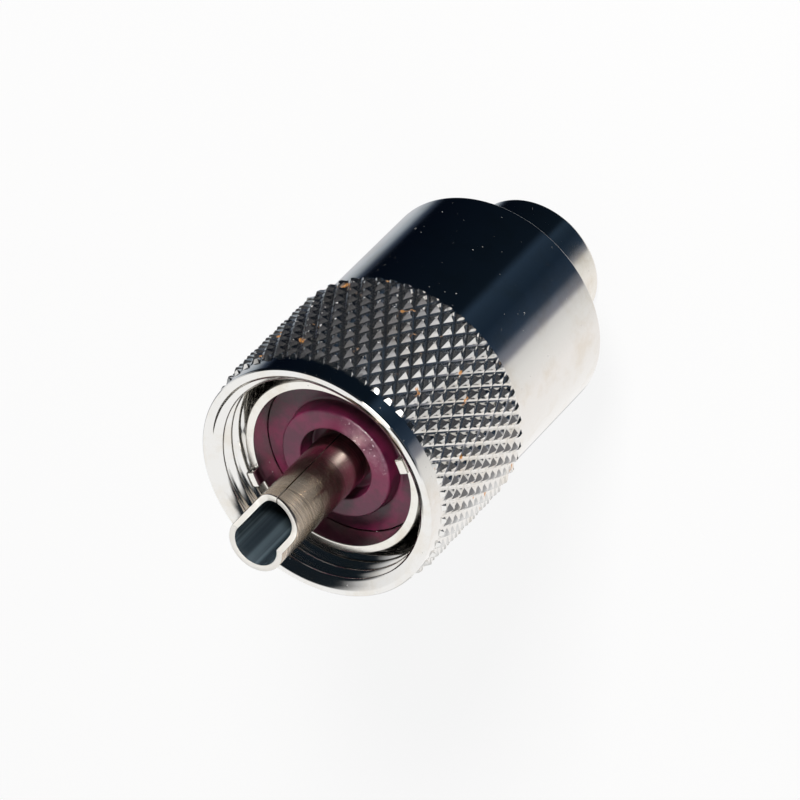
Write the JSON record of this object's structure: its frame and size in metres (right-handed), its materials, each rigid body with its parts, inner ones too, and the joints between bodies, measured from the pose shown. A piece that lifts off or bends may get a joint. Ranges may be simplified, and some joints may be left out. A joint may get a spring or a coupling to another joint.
{
  "type": "uhf connector plug",
  "caption": "Coaxial plug with a diamond-knurled coupling ring that turns on a nickel-plated body, a maroon insulator and a hollow centre pin.",
  "frame": {"origin": "centre of the cable neck's rear face, on which the plug stands", "axes": "+Z along the plug's axis towards the centre pin's tip, +X through one locating tang"},
  "size_m": [0.018, 0.018, 0.0366],
  "materials": {
    "ring_nickel": "bright nickel plate on turned brass",
    "body_nickel": "warm nickel plate on turned brass",
    "phenolic": "moulded maroon phenolic, satin",
    "pin_nickel": "dull nickel plate with fine turning marks"
  },
  "bodies": {
    "body": {"plug_body": "body_nickel", "insulator": "phenolic", "centre_pin": "pin_nickel"},
    "ring": {"coupling_ring": "ring_nickel"}
  },
  "joints": [
    {"name": "ring_turn", "type": "hinge", "parent": "body", "child": "ring", "pos_m": [0, 0, 0.008], "axis": [0, 0, 1], "continuous": true}
  ]
}
